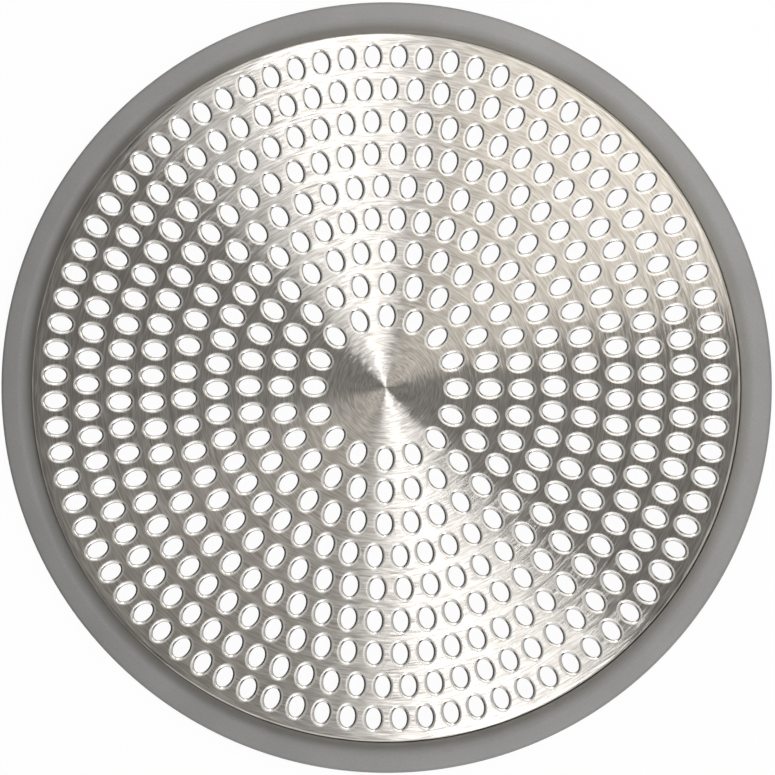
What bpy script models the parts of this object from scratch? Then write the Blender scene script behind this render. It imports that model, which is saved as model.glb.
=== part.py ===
"""Shower drain hair catcher: a perforated steel disc that sits in a soft silicone rim.

Units are metres and +Z is up. The origin lies on the disc's axis, on the floor that the rim
rests on. The disc is a shallow pressed cup: a flat sheet full of oval drain holes, whose edge
rolls down into a short skirt. The skirt stands in a groove of the rim.
"""

import math

import bmesh
import bpy
from mathutils import Matrix

# Steel disc
DISC_DIAMETER = 0.1340
SHEET_THICKNESS = 0.0005
EDGE_ROLL = 0.0006
CLEAR_HEIGHT = 0.0045  # floor to the underside of the sheet
PLAIN_CENTRE = 0.0220  # diameter of the sheet without holes in the middle
PLAIN_EDGE = 0.0018  # width of the sheet without holes round the outside

# Drain holes, each an oval whose long axis points at the disc's centre
HOLE_LENGTH = 0.0041
HOLE_WIDTH = 0.0029
HOLE_FLARE = 0.0005  # how far the rolled mouth reaches past the hole at each end
HOLES_PER_RING = (16, 24, 32, 42, 47, 56, 64, 72, 80)
RING_START = (0, 0, 0, 0.13, 0, 0.66, 0.66, 0, 0.66)  # first hole past +X, in hole pitches

# Silicone rim
FIT_GAP = 0.0003
FLANGE_WIDTH = 0.0057  # from the groove to the outer edge
FLANGE_EDGE_HEIGHT = 0.0024
FLANGE_EDGE_ROUND = 0.0006
CREST_HEIGHT = 0.0030
CREST_INSET = 0.0030  # from the outer edge to the crest
VALLEY_DEPTH = 0.00055  # from the crest down to the foot of the disc
INNER_LEG_THICKNESS = 0.0008
GROOVE_FLOOR_THICKNESS = 0.0007
FOOT_CHAMFER = 0.0002

# Facets
HOLE_SIDES = 6
ROUND_SIDES = 60
ROUND_STEPS = 3
VALLEY_STEPS = 4
CUTTER_OVERRUN = 0.00005
SHARP_CORNER = math.radians(50)

STEEL_COLOUR = (0.60, 0.59, 0.57, 1.0)
SILICONE_COLOUR = (0.26, 0.26, 0.255, 1.0)

# Sizes that follow from the ones above
DISC_RADIUS = DISC_DIAMETER / 2
SKIRT_INNER_RADIUS = DISC_RADIUS - SHEET_THICKNESS
DISC_TOP = CLEAR_HEIGHT + SHEET_THICKNESS
MOUTH_LENGTH = HOLE_LENGTH + 2 * HOLE_FLARE
MOUTH_WIDTH = HOLE_WIDTH * MOUTH_LENGTH / HOLE_LENGTH
FIRST_RING_RADIUS = (PLAIN_CENTRE + MOUTH_LENGTH) / 2
LAST_RING_RADIUS = DISC_RADIUS - PLAIN_EDGE - MOUTH_LENGTH / 2
SKIRT_BOTTOM = GROOVE_FLOOR_THICKNESS + FIT_GAP
GROOVE_OUTER_RADIUS = DISC_RADIUS + FIT_GAP
GROOVE_INNER_RADIUS = SKIRT_INNER_RADIUS - FIT_GAP
RIM_RADIUS = GROOVE_OUTER_RADIUS + FLANGE_WIDTH
CREST_RADIUS = RIM_RADIUS - CREST_INSET
LEG_INNER_RADIUS = GROOVE_INNER_RADIUS - INNER_LEG_THICKNESS
LEG_TOP = CLEAR_HEIGHT - FIT_GAP


def clear_scene():
    for obj in list(bpy.data.objects):
        bpy.data.objects.remove(obj, do_unlink=True)


def new_collection(name):
    collection = bpy.data.collections.new(name)
    bpy.context.scene.collection.children.link(collection)
    return collection


def new_material(name, colour, roughness, metallic):
    material = bpy.data.materials.new(name)
    material.use_nodes = True
    shader = material.node_tree.nodes["Principled BSDF"]
    shader.inputs["Base Color"].default_value = colour
    shader.inputs["Roughness"].default_value = roughness
    shader.inputs["Metallic"].default_value = metallic
    return material


def object_from_bmesh(name, mesh_data, collection):
    mesh = bpy.data.meshes.new(name)
    mesh_data.to_mesh(mesh)
    mesh_data.free()
    obj = bpy.data.objects.new(name, mesh)
    collection.objects.link(obj)
    return obj


def hide_cutter(obj):
    obj.hide_render = True
    obj.display_type = "WIRE"


def add_cylinder(mesh_data, radius, bottom, top):
    """A closed cylinder on the Z axis, with one face for each end."""
    bmesh.ops.create_cone(
        mesh_data,
        cap_ends=True,
        segments=ROUND_SIDES,
        radius1=radius,
        radius2=radius,
        depth=top - bottom,
        matrix=Matrix.Translation((0, 0, (top + bottom) / 2)),
    )


def subtract(obj, cutter):
    boolean = obj.modifiers.new("cut_" + cutter.name, "BOOLEAN")
    boolean.operation = "DIFFERENCE"
    boolean.object = cutter


def finish_mesh(obj, material):
    """Swaps the object's mesh for what its modifiers make of it, then smooths the round faces."""
    graph = bpy.context.evaluated_depsgraph_get()
    made = bpy.data.meshes.new_from_object(obj.evaluated_get(graph))
    obj.modifiers.clear()
    obj.data = made
    made.name = obj.name
    made.shade_smooth()
    made.set_sharp_from_angle(angle=SHARP_CORNER)
    made.materials.clear()
    made.materials.append(material)


def corner_reach():
    """Where a hole's corners lie, along it and across it, as shares of the oval's half sizes.

    A hole is a prism whose flat sides lie on the oval's sides. The corners at its ends lie past
    the oval's ends, as far as gives both the same area.
    """
    across = 1 / math.cos(math.pi / HOLE_SIDES)
    sector = math.tau / HOLE_SIDES
    along = sector / math.sin(sector) / across
    return along, across


def ring_radii():
    """Evenly spaced rings, or fewer where a sheet's thickness wouldn't be left between two."""
    along, _ = corner_reach()
    span = LAST_RING_RADIUS - FIRST_RING_RADIUS
    most = math.floor(span / (MOUTH_LENGTH * along + SHEET_THICKNESS)) + 1
    rings = min(len(HOLES_PER_RING), most)
    return [FIRST_RING_RADIUS + span * index / (rings - 1) for index in range(rings)]


def holes_in_ring(index, radius):
    """The ring's number of holes, or fewer where they would come within a sheet's thickness."""
    narrowest_round = math.tau * (radius - MOUTH_LENGTH / 4)
    return min(HOLES_PER_RING[index], math.floor(narrowest_round / (MOUTH_WIDTH + SHEET_THICKNESS)))


def hole_places():
    """One placement for each hole: turned about the disc's axis, then moved out to its ring."""
    for index, radius in enumerate(ring_radii()):
        count = holes_in_ring(index, radius)
        pitch = math.tau / count
        for hole in range(count):
            turn = (hole + RING_START[index]) * pitch
            yield Matrix.Rotation(turn, 4, "Z") @ Matrix.Translation((radius, 0, 0))


def make_hole_cutters(collection):
    """All the holes in one mesh. Each is a tapered prism, widest at the top of the sheet.

    The taper runs from the hole's own size on the underside to the mouth's size on the top face,
    and carries on past both faces for the overrun.
    """
    widening = MOUTH_LENGTH / HOLE_LENGTH - 1
    overrun_share = CUTTER_OVERRUN / SHEET_THICKNESS
    low = CLEAR_HEIGHT - CUTTER_OVERRUN
    high = DISC_TOP + CUTTER_OVERRUN
    along, across = corner_reach()
    shape = Matrix.Diagonal((along * HOLE_LENGTH / 2, across * HOLE_WIDTH / 2, 1, 1))
    corner_outwards = Matrix.Rotation(math.pi / 2, 4, "Z")
    cutters = bmesh.new()
    for place in hole_places():
        bmesh.ops.create_cone(
            cutters,
            cap_ends=True,
            segments=HOLE_SIDES,
            radius1=1 - widening * overrun_share,
            radius2=1 + widening * (1 + overrun_share),
            depth=high - low,
            matrix=place @ Matrix.Translation((0, 0, (low + high) / 2)) @ shape @ corner_outwards,
        )
    cutter = object_from_bmesh("drain_hole_cutters", cutters, collection)
    hide_cutter(cutter)
    return cutter


def make_cup_cutter(collection):
    """The hollow of the pressed cup, open below."""
    hollow = bmesh.new()
    add_cylinder(hollow, SKIRT_INNER_RADIUS, SKIRT_BOTTOM - CUTTER_OVERRUN, CLEAR_HEIGHT)
    cutter = object_from_bmesh("cup_cutter", hollow, collection)
    hide_cutter(cutter)
    return cutter


def make_disc(collection, cutters, steel):
    """The pressed steel disc: sheet, bent edge and skirt in one piece, then its drain holes."""
    blank = bmesh.new()
    add_cylinder(blank, DISC_RADIUS, SKIRT_BOTTOM, DISC_TOP)
    middle = (SKIRT_BOTTOM + DISC_TOP) / 2
    top_edges = [edge for edge in blank.edges if all(vert.co.z > middle for vert in edge.verts)]
    # The bend's facet would cut into the cup at twice the sheet's thickness.
    bend = min(EDGE_ROLL, 1.5 * SHEET_THICKNESS)
    bmesh.ops.bevel(blank, geom=top_edges, offset=bend, segments=1, affect="EDGES")
    disc = object_from_bmesh("perforated_disc", blank, collection)
    subtract(disc, make_cup_cutter(cutters))
    subtract(disc, make_hole_cutters(cutters))
    finish_mesh(disc, steel)


def flange_slope():
    """How far the flange's top leans down towards its edge, as an angle."""
    run = CREST_INSET - FLANGE_EDGE_ROUND
    return math.atan2(CREST_HEIGHT - FLANGE_EDGE_HEIGHT, run)


def rounded_edge():
    """The flange's outer edge, from the slope of its top round to upright."""
    centre_r = RIM_RADIUS - FLANGE_EDGE_ROUND
    centre_z = FLANGE_EDGE_HEIGHT - FLANGE_EDGE_ROUND
    start = math.pi / 2 - flange_slope()
    for step in range(ROUND_STEPS + 1):
        angle = start * (1 - step / ROUND_STEPS)
        yield (
            centre_r + FLANGE_EDGE_ROUND * math.cos(angle),
            centre_z + FLANGE_EDGE_ROUND * math.sin(angle),
        )


def valley_to_crest():
    """The dip beside the disc: a half wave that climbs from the groove to the crest."""
    run = CREST_RADIUS - GROOVE_OUTER_RADIUS
    for step in range(VALLEY_STEPS + 1):
        share = step / VALLEY_STEPS
        climb = (1 - math.cos(math.pi * share)) / 2
        yield GROOVE_OUTER_RADIUS + run * share, CREST_HEIGHT - VALLEY_DEPTH * (1 - climb)


def rim_profile():
    """The rim's section as (radius, height): down the outer side, under, and up to the crest."""
    under = [
        (RIM_RADIUS, FOOT_CHAMFER),
        (RIM_RADIUS - FOOT_CHAMFER, 0),
        (LEG_INNER_RADIUS + FOOT_CHAMFER, 0),
        (LEG_INNER_RADIUS, FOOT_CHAMFER),
    ]
    groove = [
        (LEG_INNER_RADIUS, LEG_TOP),
        (GROOVE_INNER_RADIUS, LEG_TOP),
        (GROOVE_INNER_RADIUS, GROOVE_FLOOR_THICKNESS),
        (GROOVE_OUTER_RADIUS, GROOVE_FLOOR_THICKNESS),
    ]
    return [*rounded_edge(), *under, *groove, *valley_to_crest()]


def make_rim(collection, silicone):
    """The silicone rim, turned from its section."""
    section = bmesh.new()
    corners = [section.verts.new((radius, 0, height)) for radius, height in rim_profile()]
    for corner, following in zip(corners, corners[1:] + corners[:1]):
        section.edges.new((corner, following))
    rim = object_from_bmesh("silicone_rim", section, collection)
    turned = rim.modifiers.new("turned", "SCREW")
    turned.axis = "Z"
    turned.angle = math.tau
    turned.steps = ROUND_SIDES
    turned.render_steps = ROUND_SIDES
    turned.use_merge_vertices = True
    turned.merge_threshold = 0.00001
    finish_mesh(rim, silicone)


def main():
    clear_scene()
    catcher = new_collection("shower_drain_hair_catcher")
    cutters = new_collection("cutters")
    steel = new_material("brushed_steel", STEEL_COLOUR, roughness=0.32, metallic=1.0)
    silicone = new_material("grey_silicone", SILICONE_COLOUR, roughness=0.55, metallic=0.0)
    make_disc(catcher, cutters, steel)
    make_rim(catcher, silicone)


main()
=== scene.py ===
"""The looks of a shower drain hair catcher: a brushed steel disc held in a grey silicone rim.

Metres, +Z up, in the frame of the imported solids. The disc and the rim are built afresh at a fine
scale, inside the same sizes as their solids. Colours are linear.
"""

import math

import bmesh
import bpy
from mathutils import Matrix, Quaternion, Vector


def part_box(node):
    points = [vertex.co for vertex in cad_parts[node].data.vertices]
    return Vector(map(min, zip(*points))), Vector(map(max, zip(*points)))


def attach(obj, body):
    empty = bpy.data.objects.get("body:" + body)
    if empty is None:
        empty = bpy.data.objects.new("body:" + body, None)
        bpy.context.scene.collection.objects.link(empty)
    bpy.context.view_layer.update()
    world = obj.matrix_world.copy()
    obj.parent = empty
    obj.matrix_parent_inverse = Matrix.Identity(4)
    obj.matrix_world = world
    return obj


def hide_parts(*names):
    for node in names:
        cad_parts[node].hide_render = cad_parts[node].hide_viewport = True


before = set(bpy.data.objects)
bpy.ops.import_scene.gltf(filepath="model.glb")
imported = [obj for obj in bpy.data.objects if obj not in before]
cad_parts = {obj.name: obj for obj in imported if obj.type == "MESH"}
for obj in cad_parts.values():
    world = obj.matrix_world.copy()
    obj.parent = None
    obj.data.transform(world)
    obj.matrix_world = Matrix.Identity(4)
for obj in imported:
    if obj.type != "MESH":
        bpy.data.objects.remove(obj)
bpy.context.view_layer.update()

disc_low, disc_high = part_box("perforated_disc")
_, rim_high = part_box("silicone_rim")

# Steel disc
DISC_RADIUS = disc_high.x
DISC_TOP = disc_high.z
SKIRT_BOTTOM = disc_low.z
SHEET = 0.0005
EDGE_ROLL = 0.0006

# Drain holes, as ovals whose long axis points at the disc's centre. From the flat top inwards, the
# edge of each has a gentle roll, a steeper drawn part and an almost upright lip
OPENING_HALF_LENGTH = 0.00203
OPENING_HALF_WIDTH = 0.00140
ROLL_WIDTH = 0.00070  # of all three parts, from the opening to the flat top
ROLL_TILT = math.radians(18)  # at the inner end of the roll
DRAW_WIDTH = 0.00027
DRAW_TILT = math.radians(35)
LIP_DRAFT = 0.00009  # how far the lip leans in on its way down
LIP_DEPTH = 0.00075  # from the disc's top to the lip's lower end
UNDER_BEVEL = 0.00015
FIRST_RING_RADIUS = 0.01355
LAST_RING_INSET = 0.00435  # from the disc's edge
HOLES_PER_RING = (16, 24, 32, 42, 47, 56, 64, 72, 80)
RING_START = (0, 0, 0, 0.13, 0, 0.66, 0.66, 0, 0.66)  # first hole past +X, in hole pitches

# Silicone rim
RIM_RADIUS = rim_high.x
LEG_TOP = rim_high.z
FIT_GAP = 0.0003  # round the disc's skirt, in the groove
LIP_GAP = 0.0002  # between the disc and the lip at the groove's outer edge
LIP_LOOP = 3  # the lip's place in the rim's section
LIP_SHIFT = 0.00007  # how far the lip lies off centre, to the right and to the front
FLANGE_EDGE_HEIGHT = 0.0024
FLANGE_EDGE_ROUND = 0.0006
CREST_HEIGHT = 0.0030
CREST_INSET = 0.0030  # from the outer edge
VALLEY_DEPTH = 0.00055  # from the crest down to the lip
INNER_LEG_THICKNESS = 0.0008
GROOVE_FLOOR = 0.0007
FOOT_ROUND = 0.0002

# How finely the round shapes are divided
HOLE_SEGMENTS = 22
ROLL_STEPS = 3
BEND_STEPS = 4
TURNED_SEGMENTS = 240
VALLEY_STEPS = 16
FLANGE_STEPS = 8
FOOT_STEPS = 3
SUPPORT_BAND = 0.00005  # of the flat top beside each roll, which keeps the shading flat beyond it
SHARP_CORNER = math.radians(40)

# In the looks below, a name with CELLS in it counts the cells of a noise per metre, and a name with
# NOISE in it is the part of a noise's range that the tones or the roughness follow

# Brushed lines of the steel, with each layer's cells across the lines and along them
FINE_LINE_CELLS = (4500, 230)
CROSSING_LINE_CELLS = (3600, 230)
BROAD_BAND_CELLS = (450, 120)
LEANING_LINE_CELLS = (3500, 180)
BROAD_SHARE = 0.15
LAYER_STEP = 0.05  # between two layers, in the noise that the lines wander by
WANDER_CELLS = 150
LINE_WANDER = 0.0013  # of a line's radius
LINE_CENTRE = 0.014  # added to the radius along the lines, which keeps them short near the centre
LINE_LEAN = 0.055  # greatest lean of a line along its run, as a slope

# Hairline scratches in the steel
SCRATCH_LAYERS = ((0.7, 0.0), (2.1, 0.3))  # turn in radians, and shift of the noise
SCRATCH_CELLS = (25, 3200, 0)  # along the scratches, across them and in height
SCRATCH_NOISE = (0.70, 0.84)
SCRATCH_DARKENING = 0.25

# Brushed steel
STREAK_NOISE = (0.33, 0.67)
STEEL_DARK = (0.495, 0.454, 0.407, 1)
STEEL_LIGHT = (0.800, 0.751, 0.696, 1)
STEEL_ROUGHNESS = (0.28, 0.32)
LINE_DEPTH = 0.000018
HIGHLIGHT_TURN = 0.25  # a quarter turn, from along the lines to across them

# The disc's second material, on the rolls of its holes. The depths are below the disc's top
PRESSED = 1
PRESSED_STREAK_NOISE = (0.3, 0.7)
PRESSED_DARK = (0.69, 0.650, 0.602, 1)
PRESSED_LIGHT = (0.79, 0.748, 0.700, 1)
# Painted shade: the sheared lower walls of the holes are coloured near-black for the shade deep inside the
# holes
SHEARED_WALL_SHADE_COLOUR = (0.06, 0.058, 0.054, 1)
SHEARED_WALL_SHADE_DEPTHS = (0.00021, 0.00024)  # over which the rolled steel's colour turns to the near-black painted shade on the sheared walls
SMOOTHED_DEPTHS = (0.00005, 0.00010)  # over which the steel gets smoother
SMOOTHED_ROUGHNESS = (0.48, 0.20)
PRESSED_UNEVENNESS = (0.03, -0.03)  # added to the roughness
PRESSED_LINE_DEPTH = 0.00002
PRESSED_LINE_STRENGTH = 0.5
PRESSED_ANISOTROPY = 0.4

# Silicone, with painted shade next to the disc, tinted warm as a painted reflection of the steel, and
# painted shade over its outer round
CLOUD_CELLS = 60
GRAIN_CELLS = 4200
SILICONE_NOISE = (0.38, 0.62)
SILICONE_DARK = (0.266, 0.2565, 0.249, 1)
SILICONE_LIGHT = (0.317, 0.306, 0.297, 1)
GROOVE_SHADE_COLOUR = (0.158, 0.141, 0.102, 1)
GROOVE_SHADE_WIDTH = 0.0024
GROOVE_SHADE_SHARES = (0.5, 0.0)  # of the painted groove shade's colour, from the groove outwards
EDGE_SHADE_COLOUR = (0.120, 0.116, 0.110, 1)
EDGE_SHADE_SHARES = (0.0, 0.5)  # of the painted edge shade's colour, over the edge's round
GRAIN_NOISE = (0.3, 0.7)
SILICONE_ROUGHNESS = (0.5, 0.65)
GRAIN_DEPTH = 0.00003
GRAIN_STRENGTH = 0.3

# White floor
FLOOR_SIZE = 4.0
FLOOR_DROP = 0.00005  # below the part, so that the two faces don't coincide
PAPER_CELLS = 900
PAPER_NOISE = (0.3, 0.7)
PAPER_GREYS = (0.86, 0.90)
PAPER_ROUGHNESS = 0.9
BACKLIGHT_SHARE = 0.96  # the rest is paper that can show a shadow

# Room. A direction's X runs from -1 on the left to 1 on the right, and its Z is 0 at the horizon
ROOM_LEVEL = 0.05
SCREEN_SHARE = 0.15  # of the room's level
SCREEN_EDGE = (-0.65, -0.2)  # X over which the screen fades into the room
HORIZON_EDGE = (0.06, 0.12)  # Z, above or below, over which the paper fades into the room
PAPER_END = (-0.8, -0.5)  # X over which the paper begins beside the screen
COOL = (0.94, 0.97, 1.0)
WARM = (1.0, 0.985, 0.93)

# Camera
CAMERA_DISTANCE = 2.0
CAMERA_ROLL = math.radians(0.65)
CAMERA_TILT = math.radians(1.5)
PHOTO_SIDE_PX = 775
PHOTO_RIM_CENTRE_PX = (385.68, 387.12)  # right of and below the middle of the first pixel
PHOTO_OUTER_RADIUS_PX = 385.5
SENSOR_WIDTH_MM = 36


# Geometry helpers


def arc_points(centre, radius, start, end, steps):
    """Points on an arc in a section, from angle start to angle end in degrees."""
    for step in range(steps + 1):
        angle = math.radians(start + (end - start) * step / steps)
        yield centre[0] + radius * math.cos(angle), centre[1] + radius * math.sin(angle)


def ring_of_verts(bm, radius, height):
    turns = [math.tau * index / TURNED_SEGMENTS for index in range(TURNED_SEGMENTS)]
    return [bm.verts.new((radius * math.cos(t), radius * math.sin(t), height)) for t in turns]


def bridge(bm, first, second, material=0):
    """Quads between two closed loops of as many vertices each."""
    count = len(first)
    for index in range(count):
        following = (index + 1) % count
        face = bm.faces.new((first[index], first[following], second[following], second[index]))
        face.material_index = material


def new_piece(name, bm):
    """A smooth-shaded object from a bmesh, with its faces pointing out and sharp corners kept."""
    bmesh.ops.recalc_face_normals(bm, faces=bm.faces)
    mesh = bpy.data.meshes.new(name)
    bm.to_mesh(mesh)
    bm.free()
    mesh.shade_smooth()
    mesh.set_sharp_from_angle(angle=SHARP_CORNER)
    obj = bpy.data.objects.new(name, mesh)
    bpy.context.scene.collection.objects.link(obj)
    return obj


# The disc


def hole_centres():
    """(distance from the disc's centre, turn) of every hole, ring by ring from the inside out."""
    rings = len(HOLES_PER_RING)
    last = DISC_RADIUS - LAST_RING_INSET
    for index, count in enumerate(HOLES_PER_RING):
        radius = FIRST_RING_RADIUS + (last - FIRST_RING_RADIUS) * index / (rings - 1)
        for hole in range(count):
            yield radius, math.tau * (hole + RING_START[index]) / count


def hole_section():
    """The rolled edge of a hole as (distance out from the opening, height from the disc's top).

    It runs from the flat top, over the gentle roll, down the steeper drawn part and the upright
    lip, then back up the outside of the lip to the flat underside.
    """
    roll_radius = (ROLL_WIDTH - DRAW_WIDTH - LIP_DRAFT) / math.sin(ROLL_TILT)
    roll_centre = ROLL_WIDTH, -roll_radius
    roll = list(arc_points(roll_centre, roll_radius, 90, 90 + math.degrees(ROLL_TILT), ROLL_STEPS))
    lip_top = roll[-1][1] - DRAW_WIDTH * math.tan(DRAW_TILT)
    return [
        (ROLL_WIDTH + SUPPORT_BAND, 0),
        *roll,
        (LIP_DRAFT, lip_top),
        (0, -LIP_DEPTH),
        (SHEET, -LIP_DEPTH),
        (SHEET, -SHEET - UNDER_BEVEL),
        (SHEET + UNDER_BEVEL, -SHEET),
    ]


def edge_section():
    """The disc's own edge as (radius, height), from the flat top round the bend to the underside."""
    bend = DISC_RADIUS - EDGE_ROLL, DISC_TOP - EDGE_ROLL
    inner = DISC_RADIUS - SHEET
    inner_bend = EDGE_ROLL - SHEET
    return [
        (DISC_RADIUS - EDGE_ROLL - SUPPORT_BAND, DISC_TOP),
        *arc_points(bend, EDGE_ROLL, 90, 0, BEND_STEPS),
        (DISC_RADIUS, SKIRT_BOTTOM),
        (inner, SKIRT_BOTTOM),
        (inner, DISC_TOP - SHEET - inner_bend),
        (inner - inner_bend, DISC_TOP - SHEET),
    ]


def add_hole(bm, radius, turn, section):
    """One rolled hole. Returns its outermost loops, in the top face and in the underside."""
    loops = []
    for out, height in section:
        half_length = OPENING_HALF_LENGTH + out
        half_width = OPENING_HALF_WIDTH + out
        loop = []
        for index in range(HOLE_SEGMENTS):
            angle = math.tau * index / HOLE_SEGMENTS
            along = radius + half_length * math.cos(angle)
            across = half_width * math.sin(angle)
            x = along * math.cos(turn) - across * math.sin(turn)
            y = along * math.sin(turn) + across * math.cos(turn)
            loop.append(bm.verts.new((x, y, DISC_TOP + height)))
        loops.append(loop)
    bridge(bm, loops[0], loops[1])
    for first, second in zip(loops[1:], loops[2:]):
        bridge(bm, first, second, PRESSED)
    return loops[0], loops[-1]


def fill_flat(bm, loops):
    """Fills the flat face between an outer loop and the loops of the holes in it."""
    edges = []
    for loop in loops:
        for index, vert in enumerate(loop):
            edges.append(bm.edges.get((vert, loop[(index + 1) % len(loop)])))
    bmesh.ops.triangle_fill(bm, edges=edges, use_beauty=True)


def make_disc():
    bm = bmesh.new()
    edge_loops = [ring_of_verts(bm, radius, height) for radius, height in edge_section()]
    for first, second in zip(edge_loops, edge_loops[1:]):
        bridge(bm, first, second)
    top_loops = [edge_loops[0]]
    under_loops = [edge_loops[-1]]
    section = hole_section()
    for radius, turn in hole_centres():
        top, under = add_hole(bm, radius, turn, section)
        top_loops.append(top)
        under_loops.append(under)
    fill_flat(bm, top_loops)
    fill_flat(bm, under_loops)
    return new_piece("steel_disc", bm)


# The rim


def rim_valley():
    """The soft hollow between the groove's lip and the crest."""
    lip = DISC_RADIUS + LIP_GAP
    crest = RIM_RADIUS - CREST_INSET
    for step in range(VALLEY_STEPS + 1):
        share = step / VALLEY_STEPS
        climb = (1 - math.cos(math.pi * share)) / 2
        yield lip + (crest - lip) * share, CREST_HEIGHT - VALLEY_DEPTH * (1 - climb)


def rim_section():
    """The silicone's section as (radius, height), from the inner leg's top down into the groove.

    It goes on over the flange and back along the foot. The groove's outer wall leans in at its
    top, where the lip grips the disc.
    """
    groove_outer = DISC_RADIUS + FIT_GAP
    groove_inner = DISC_RADIUS - SHEET - FIT_GAP
    leg_inner = groove_inner - INNER_LEG_THICKNESS
    slope = math.atan2(CREST_HEIGHT - FLANGE_EDGE_HEIGHT, CREST_INSET - FLANGE_EDGE_ROUND)
    edge_centre = RIM_RADIUS - FLANGE_EDGE_ROUND, FLANGE_EDGE_HEIGHT - FLANGE_EDGE_ROUND
    outer_foot = RIM_RADIUS - FOOT_ROUND, FOOT_ROUND
    inner_foot = leg_inner + FOOT_ROUND, FOOT_ROUND
    return [
        (groove_inner, LEG_TOP),
        (groove_inner, GROOVE_FLOOR),
        (groove_outer, GROOVE_FLOOR),
        *rim_valley(),
        *arc_points(edge_centre, FLANGE_EDGE_ROUND, 90 - math.degrees(slope), 0, FLANGE_STEPS),
        *arc_points(outer_foot, FOOT_ROUND, 0, -90, FOOT_STEPS),
        *arc_points(inner_foot, FOOT_ROUND, 270, 180, FOOT_STEPS),
        (leg_inner, LEG_TOP),
    ]


def make_rim():
    """The rim. Its lip is a little off centre, as if the disc sat to one side of its groove."""
    bm = bmesh.new()
    loops = [ring_of_verts(bm, radius, height) for radius, height in rim_section()]
    for vert in loops[LIP_LOOP]:
        vert.co += Vector((LIP_SHIFT, -LIP_SHIFT, 0))
    for first, second in zip(loops, loops[1:] + loops[:1]):
        bridge(bm, first, second)
    return new_piece("silicone_ring", bm)


# Materials


class Nodes:
    """A small helper that adds shader nodes and links them in one line each."""

    def __init__(self, tree):
        self.tree = tree

    def add(self, kind, inputs=None, **settings):
        node = self.tree.nodes.new(kind)
        for name, value in settings.items():
            setattr(node, name, value)
        for name, value in (inputs or {}).items():
            if isinstance(value, bpy.types.NodeSocket):
                self.tree.links.new(value, node.inputs[name])
            else:
                node.inputs[name].default_value = value
        return node

    def link(self, value, node, name):
        self.tree.links.new(value, node.inputs[name])

    def maths(self, operation, first, second=0.0):
        return self.add("ShaderNodeMath", {0: first, 1: second}, operation=operation).outputs[0]

    def vector(self, operation, first, second=(0, 0, 0)):
        return self.add("ShaderNodeVectorMath", {0: first, 1: second}, operation=operation).outputs[0]

    def scaled(self, vector, factor):
        return self.add("ShaderNodeVectorMath", {0: vector, "Scale": factor}, operation="SCALE").outputs[0]

    def length(self, vector):
        return self.add("ShaderNodeVectorMath", {0: vector}, operation="LENGTH").outputs["Value"]

    def remap(self, value, old, new=(0.0, 1.0)):
        """A value of the range old, moved to the range new and kept inside it."""
        inputs = {"Value": value, "From Min": old[0], "From Max": old[1]}
        inputs.update({"To Min": new[0], "To Max": new[1]})
        return self.add("ShaderNodeMapRange", inputs).outputs["Result"]

    def noise(self, vector, scale, detail=2.0, roughness=0.5):
        inputs = {"Vector": vector, "Scale": scale, "Detail": detail, "Roughness": roughness}
        return self.add("ShaderNodeTexNoise", inputs).outputs["Fac"]

    def mix(self, share, first, second):
        """A value between two others."""
        inputs = {"Factor": share, "A": first, "B": second}
        return self.add("ShaderNodeMix", inputs).outputs["Result"]

    def mix_colours(self, share, first, second):
        """A colour between two others."""
        inputs = {"Factor": share, "A": first, "B": second}
        return self.add("ShaderNodeMix", inputs, data_type="RGBA").outputs["Result"]

    def bump(self, height, depth, strength=1.0):
        inputs = {"Strength": strength, "Distance": depth, "Height": height}
        return self.add("ShaderNodeBump", inputs).outputs[0]


def new_material(name):
    material = bpy.data.materials.new(name)
    material.use_nodes = True
    nodes = Nodes(material.node_tree)
    shader = material.node_tree.nodes["Principled BSDF"]
    return material, nodes, shader


def object_place(nodes):
    return nodes.add("ShaderNodeTexCoord").outputs["Object"]


def flat_place(nodes):
    """The place on the object with its height left out."""
    return nodes.vector("MULTIPLY", object_place(nodes), (1, 1, 0))


def run_of_lines(nodes):
    """The direction round the disc's axis."""
    return nodes.add("ShaderNodeTangent", direction_type="RADIAL", axis="Z").outputs[0]


def line_noise(nodes, cells, layer, detail=0):
    """Noise that changes quickly with the radius and slowly over the disc, with no seam.

    The radius wanders a little, in a way of its own in each layer, so that the lines of two
    layers cross at small angles.
    """
    across, along = cells
    flat = flat_place(nodes)
    shifted = nodes.vector("ADD", flat, (0, 0, LAYER_STEP * layer))
    wander = nodes.maths("MULTIPLY", nodes.noise(shifted, WANDER_CELLS, detail=0), LINE_WANDER)
    radius = nodes.maths("ADD", nodes.length(flat), wander)
    rings = nodes.add("ShaderNodeCombineXYZ", {"Z": nodes.maths("MULTIPLY", radius, across)}).outputs[0]
    outward = nodes.vector("NORMALIZE", flat)
    longer = nodes.vector("ADD", flat, nodes.scaled(outward, LINE_CENTRE))
    return nodes.noise(nodes.vector("ADD", rings, nodes.scaled(longer, along)), 1, detail=detail)


def brushed_lines(nodes):
    """Short fine arcs round the disc, in two layers that cross, and the same with wider soft bands."""
    first = line_noise(nodes, FINE_LINE_CELLS, 0)
    second = line_noise(nodes, CROSSING_LINE_CELLS, 1)
    fine = nodes.mix(0.5, first, second)
    broad = line_noise(nodes, BROAD_BAND_CELLS, 2, detail=2)
    return fine, nodes.mix(BROAD_SHARE, fine, broad)


def hairline_scratches(nodes, turn, shift):
    """Sparse straight hairlines at one angle: 1 on a scratch, 0 beside it."""
    settings = {"Rotation": (0, 0, turn), "Location": (shift, 0, 0)}
    turned = nodes.add("ShaderNodeMapping", {"Vector": object_place(nodes), **settings}).outputs[0]
    stretched = nodes.vector("MULTIPLY", turned, SCRATCH_CELLS)
    return nodes.remap(nodes.noise(stretched, 1, detail=0), SCRATCH_NOISE)


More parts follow.
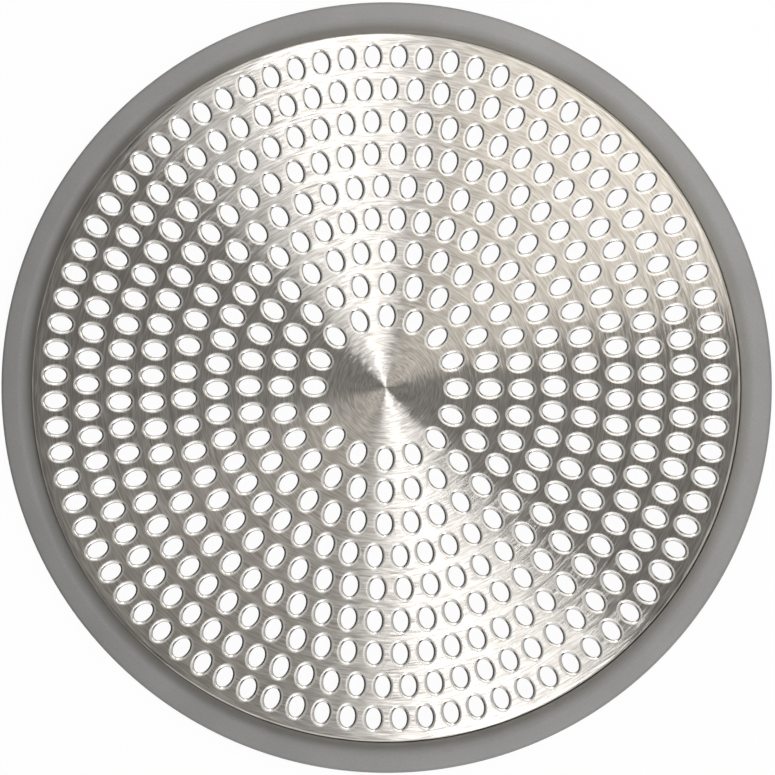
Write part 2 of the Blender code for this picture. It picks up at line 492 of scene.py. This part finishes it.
def brushed_normal(nodes, relief):
    """The lines' grooves, with every line also leaning a little along its own run.

    The lean feathers the ends of the bright fans that the lamps leave on the disc.
    """
    grooves = nodes.bump(relief, LINE_DEPTH)
    lean = nodes.remap(line_noise(nodes, LEANING_LINE_CELLS, 3), (0.0, 1.0), (-LINE_LEAN, LINE_LEAN))
    leaning = nodes.vector("ADD", grooves, nodes.scaled(run_of_lines(nodes), lean))
    return nodes.vector("NORMALIZE", leaning)


def depth_below_top(nodes):
    parts = nodes.add("ShaderNodeSeparateXYZ", {0: object_place(nodes)})
    return nodes.maths("SUBTRACT", DISC_TOP, parts.outputs["Z"])


def make_brushed_metal(nodes, shader, anisotropy):
    """Makes the shader a metal whose highlights stretch across its brushed lines."""
    nodes.link(run_of_lines(nodes), shader, "Tangent")
    shader.inputs["Metallic"].default_value = 1.0
    shader.inputs["Anisotropic"].default_value = anisotropy
    shader.inputs["Anisotropic Rotation"].default_value = HIGHLIGHT_TURN


def brushed_steel_material():
    material, nodes, shader = new_material("circular_brushed_steel")
    fine, streaks = brushed_lines(nodes)
    layers = [hairline_scratches(nodes, turn, shift) for turn, shift in SCRATCH_LAYERS]
    scratches = nodes.maths("MAXIMUM", *layers)
    tone = nodes.remap(streaks, STREAK_NOISE)
    tone = nodes.maths("SUBTRACT", tone, nodes.maths("MULTIPLY", scratches, SCRATCH_DARKENING))
    nodes.link(nodes.mix_colours(tone, STEEL_DARK, STEEL_LIGHT), shader, "Base Color")
    nodes.link(nodes.remap(streaks, STREAK_NOISE, STEEL_ROUGHNESS), shader, "Roughness")
    nodes.link(brushed_normal(nodes, fine), shader, "Normal")
    make_brushed_metal(nodes, shader, anisotropy=1.0)
    return material


def pressed_steel_material():
    """The rolls of the holes: smeared smoother by the press, and painted near-black as shade on the
    sheared walls deep in the holes.
    """
    material, nodes, shader = new_material("pressed_steel_edge_with_painted_shade")
    fine, streaks = brushed_lines(nodes)
    depth = depth_below_top(nodes)
    rolled = nodes.mix_colours(nodes.remap(streaks, PRESSED_STREAK_NOISE), PRESSED_DARK, PRESSED_LIGHT)
    # Painted shade: below these depths the rolls turn near-black, standing in for the shade inside the
    # holes
    colour = nodes.mix_colours(nodes.remap(depth, SHEARED_WALL_SHADE_DEPTHS), rolled, SHEARED_WALL_SHADE_COLOUR)
    nodes.link(colour, shader, "Base Color")
    uneven = nodes.remap(streaks, PRESSED_STREAK_NOISE, PRESSED_UNEVENNESS)
    roughness = nodes.maths("ADD", uneven, nodes.remap(depth, SMOOTHED_DEPTHS, SMOOTHED_ROUGHNESS))
    nodes.link(roughness, shader, "Roughness")
    nodes.link(nodes.bump(fine, PRESSED_LINE_DEPTH, PRESSED_LINE_STRENGTH), shader, "Normal")
    make_brushed_metal(nodes, shader, PRESSED_ANISOTROPY)
    return material


def silicone_material():
    material, nodes, shader = new_material("matte_grey_silicone")
    cloud = nodes.noise(object_place(nodes), CLOUD_CELLS, detail=3)
    grain = nodes.noise(object_place(nodes), GRAIN_CELLS, detail=2)
    tone = nodes.remap(nodes.mix(0.5, cloud, grain), SILICONE_NOISE)
    colour = nodes.mix_colours(tone, SILICONE_DARK, SILICONE_LIGHT)
    radius = nodes.length(flat_place(nodes))
    # Painted shade: darker and warmer next to the disc, for the groove's shade and a painted reflection of
    # the steel
    groove_shade = nodes.remap(radius, (DISC_RADIUS + FIT_GAP, DISC_RADIUS + GROOVE_SHADE_WIDTH), GROOVE_SHADE_SHARES)
    colour = nodes.mix_colours(groove_shade, colour, GROOVE_SHADE_COLOUR)
    # Painted shade: the silicone darkens over its outer round, where it faces the dim room
    edge = nodes.remap(radius, (RIM_RADIUS - FLANGE_EDGE_ROUND, RIM_RADIUS), EDGE_SHADE_SHARES)
    colour = nodes.mix_colours(edge, colour, EDGE_SHADE_COLOUR)
    nodes.link(colour, shader, "Base Color")
    nodes.link(nodes.remap(grain, GRAIN_NOISE, SILICONE_ROUGHNESS), shader, "Roughness")
    nodes.link(nodes.bump(grain, GRAIN_DEPTH, GRAIN_STRENGTH), shader, "Normal")
    return material


# Surroundings


def floor_material():
    """White paper. What looks straight at it sees it lit from behind, with the shadow on top.

    From below it is clear, so that the underside can be seen, and the light from below passes it.
    """
    material, nodes, shader = new_material("white_paper")
    grain = nodes.noise(object_place(nodes), PAPER_CELLS, detail=2)
    nodes.link(nodes.remap(grain, PAPER_NOISE, PAPER_GREYS), shader, "Base Color")
    shader.inputs["Roughness"].default_value = PAPER_ROUGHNESS
    rays = nodes.add("ShaderNodeLightPath").outputs
    looks = nodes.maths("MAXIMUM", rays["Is Camera Ray"], rays["Is Glossy Ray"])
    looks = nodes.maths("MAXIMUM", looks, rays["Is Transmission Ray"])
    glow = nodes.add("ShaderNodeEmission", {"Strength": 1.0}).outputs[0]
    share = nodes.maths("MULTIPLY", looks, BACKLIGHT_SHARE)
    paper = nodes.add("ShaderNodeMixShader", {0: share, 1: shader.outputs[0], 2: glow}).outputs[0]
    clear = nodes.add("ShaderNodeBsdfTransparent").outputs[0]
    below = nodes.add("ShaderNodeNewGeometry").outputs["Backfacing"]
    through = nodes.maths("MAXIMUM", below, rays["Is Shadow Ray"])
    sides = nodes.add("ShaderNodeMixShader", {0: through, 1: paper, 2: clear}).outputs[0]
    nodes.link(sides, material.node_tree.nodes["Material Output"], "Surface")
    return material


def make_floor():
    bm = bmesh.new()
    bmesh.ops.create_grid(bm, x_segments=1, y_segments=1, size=FLOOR_SIZE)
    mesh = bpy.data.meshes.new("floor")
    bm.to_mesh(mesh)
    bm.free()
    floor = bpy.data.objects.new("floor", mesh)
    floor.location.z = -FLOOR_DROP
    bpy.context.scene.collection.objects.link(floor)
    floor.data.materials.append(floor_material())


def make_world():
    """A white backdrop for the camera, and a dim room with a black screen on the left for the steel.

    White paper closes the room along the horizon, but not behind the screen.
    """
    world = bpy.data.worlds.new("dim_room")
    world.use_nodes = True
    nodes = Nodes(world.node_tree)
    way = nodes.add("ShaderNodeTexCoord").outputs["Generated"]
    parts = nodes.add("ShaderNodeSeparateXYZ", {0: way}).outputs
    room = nodes.remap(parts["X"], SCREEN_EDGE, (SCREEN_SHARE * ROOM_LEVEL, ROOM_LEVEL))
    horizon = nodes.remap(nodes.maths("ABSOLUTE", parts["Z"]), HORIZON_EDGE, (1.0, 0.0))
    beside_screen = nodes.remap(parts["X"], PAPER_END)
    level = nodes.maths("MAXIMUM", room, nodes.maths("MULTIPLY", horizon, beside_screen))
    level = nodes.maths("MAXIMUM", level, nodes.add("ShaderNodeLightPath").outputs["Is Camera Ray"])
    background = world.node_tree.nodes["Background"]
    background.inputs["Color"].default_value = (1, 1, 1, 1)
    nodes.link(level, background, "Strength")
    bpy.context.scene.world = world


def add_lamp(name, azimuth, elevation, distance, width, height, radiance, shape="RECTANGLE",
             colour=(1, 1, 1), aim=0.0, spread=180):
    """A soft box aimed at the disc, aim metres out from its centre on the lamp's own side.

    Angles are in degrees. Its power follows from how bright its face looks.
    """
    data = bpy.data.lights.new(name, "AREA")
    data.shape = shape
    data.color = colour
    data.spread = math.radians(spread)
    data.size = width
    data.size_y = height
    area = width * height * (math.pi / 4 if shape == "ELLIPSE" else 1)
    data.energy = radiance * math.pi * area
    lamp = bpy.data.objects.new(name, data)
    azimuth, elevation = math.radians(azimuth), math.radians(elevation)
    outward = Vector((math.cos(azimuth), math.sin(azimuth), 0))
    lamp.location = distance * (math.cos(elevation) * outward + Vector((0, 0, math.sin(elevation))))
    lamp.rotation_euler = (lamp.location - aim * outward).to_track_quat("Z", "Y").to_euler()
    lamp.visible_camera = False
    bpy.context.scene.collection.objects.link(lamp)


def make_lamps():
    """Two bright boxes for the steel's fans of light, and dimmer boxes that fill in the rest.

    Each line gives azimuth, elevation, distance, width, height and radiance.
    """
    add_lamp("box_behind", 100, 52, 0.50, 0.16, 0.34, 5.1, "ELLIPSE", COOL)
    add_lamp("box_front", 291, 52, 0.50, 0.22, 0.34, 5.45, "ELLIPSE", COOL)
    add_lamp("box_right_behind", 48, 52, 0.18, 0.14, 0.11, 0.84, "ELLIPSE", WARM, aim=0.04, spread=100)
    add_lamp("box_above", 0, 90, 0.25, 0.10, 0.10, 0.51, "ELLIPSE")
    add_lamp("wall_right", 0, 24, 0.50, 0.60, 0.40, 0.64)
    add_lamp("wall_left", 180, 46, 0.50, 0.60, 0.16, 0.40)
    add_lamp("wall_behind", 95, 20, 0.50, 0.60, 0.28, 1.1)
    add_lamp("wall_front", 265, 20, 0.50, 0.60, 0.28, 1.1)
    add_lamp("box_below", 290, -50, 0.70, 1.20, 1.20, 2.4)


def make_camera():
    """The photo's view: from above, leaning a little to the right."""
    data = bpy.data.cameras.new("camera")
    data.sensor_width = SENSOR_WIDTH_MM
    metres_per_px = RIM_RADIUS / PHOTO_OUTER_RADIUS_PX
    data.lens = SENSOR_WIDTH_MM * CAMERA_DISTANCE / (PHOTO_SIDE_PX * metres_per_px)
    camera = bpy.data.objects.new("camera", data)
    middle = (PHOTO_SIDE_PX - 1) / 2
    across = (middle - PHOTO_RIM_CENTRE_PX[0]) * metres_per_px
    up = (PHOTO_RIM_CENTRE_PX[1] - middle) * metres_per_px
    turn = Quaternion((0, 1, 0), CAMERA_TILT) @ Quaternion((0, 0, 1), CAMERA_ROLL)
    camera.location = Vector((across, up, FLANGE_EDGE_HEIGHT)) + turn @ Vector((0, 0, CAMERA_DISTANCE))
    camera.rotation_euler = turn.to_euler()
    bpy.context.scene.collection.objects.link(camera)
    bpy.context.scene.camera = camera


disc = make_disc()
disc.data.materials.append(brushed_steel_material())
disc.data.materials.append(pressed_steel_material())
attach(disc, "root")
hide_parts("perforated_disc")

rim = make_rim()
rim.data.materials.append(silicone_material())
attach(rim, "root")
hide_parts("silicone_rim")

make_floor()
make_world()
make_lamps()
make_camera()
bpy.context.scene.view_settings.view_transform = "Standard"
